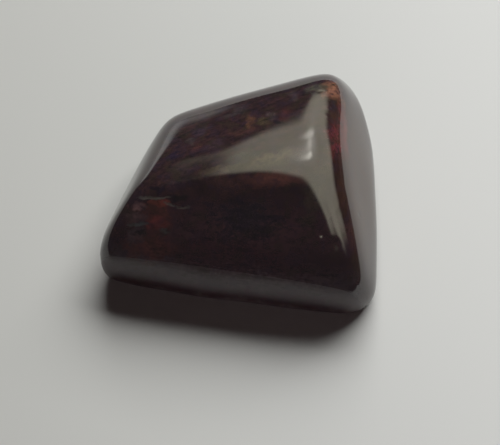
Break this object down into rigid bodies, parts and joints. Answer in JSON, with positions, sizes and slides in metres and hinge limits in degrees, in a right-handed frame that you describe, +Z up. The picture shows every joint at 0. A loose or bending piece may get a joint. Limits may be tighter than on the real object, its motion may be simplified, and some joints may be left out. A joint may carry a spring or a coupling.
{
  "type": "tumbled gemstone",
  "caption": "Tumbled and polished dark red-brown ruby stone with worn facets meeting at an off-centre peak; rests on a flat base as a specimen or paperweight.",
  "frame": {"origin": "middle of the bounding box at the level of the flat base that the stone rests on", "axes": "+Z up out of the flat base, +X along the stone's longest side towards its steep side face, +Y away from the upright front skirt"},
  "size_m": [0.0246, 0.0232, 0.0101],
  "materials": {
    "ruby": "tumble-polished gloss, mottled dark red-brown with fine streaks"
  },
  "bodies": {
    "root": {"ruby": "ruby"}
  },
  "joints": []
}
